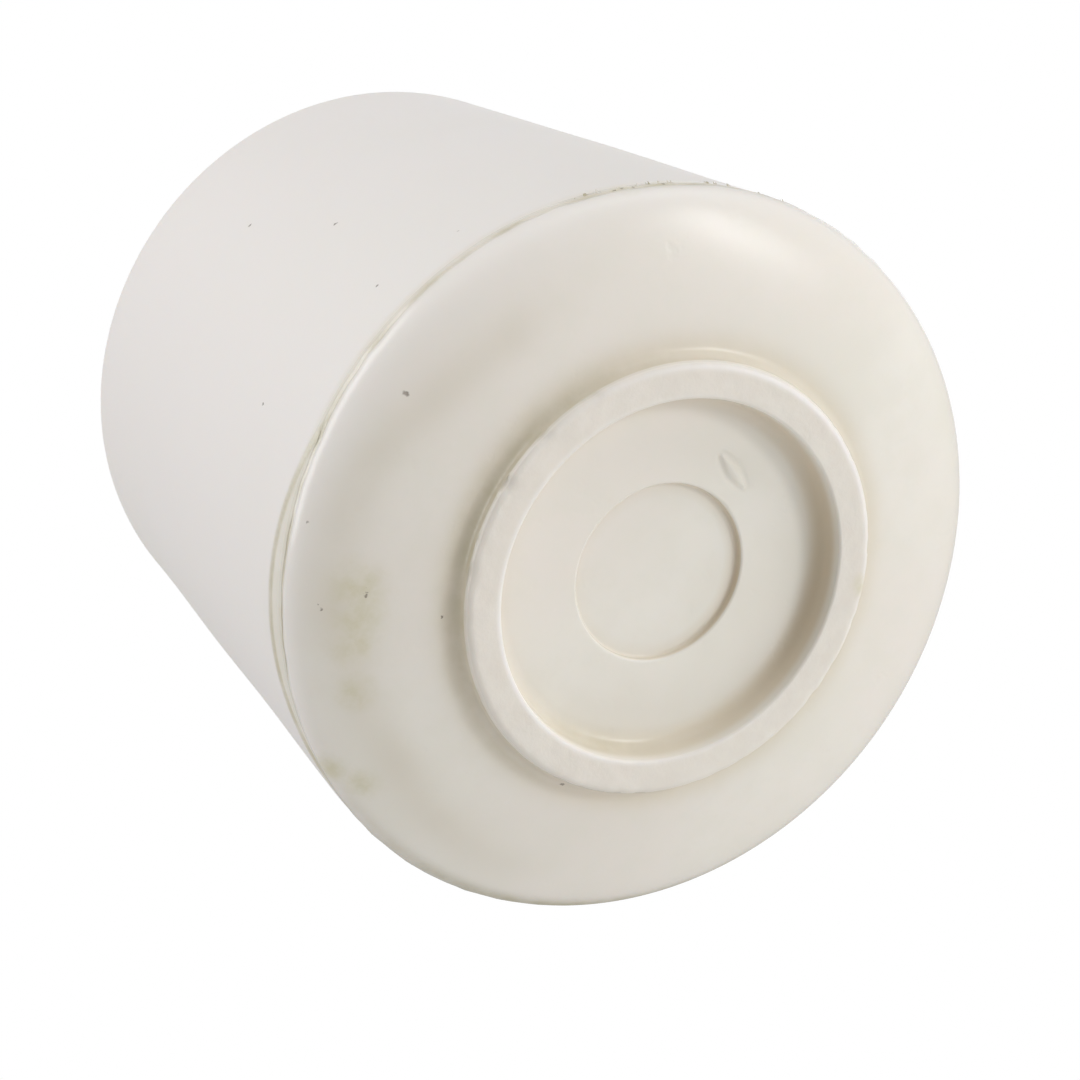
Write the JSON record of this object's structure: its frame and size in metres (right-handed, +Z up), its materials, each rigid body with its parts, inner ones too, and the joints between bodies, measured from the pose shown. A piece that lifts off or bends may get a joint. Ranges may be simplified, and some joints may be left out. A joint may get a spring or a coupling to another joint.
{
  "type": "slip-on rubber tip",
  "caption": "Off-white slip-on rubber tip: tapered sleeve, domed base and raised tread ring, with a steel washer under the socket. Foot for a door stop rod, leg or stick.",
  "frame": {"origin": "on the socket's axis, in the plane that the tread ring stands on", "axes": "+Z up the socket's axis, out of its mouth; +X through the small raised tick in the recess under the base"},
  "size_m": [0.034, 0.034, 0.0332],
  "materials": {
    "rubber": "off-white moulded rubber, satin on the sleeve and dome, matt on the worn tread ring",
    "washer": "zinc plated, dull"
  },
  "bodies": {
    "root": {"rubber_tip": "rubber", "steel_washer": "washer"}
  },
  "joints": []
}
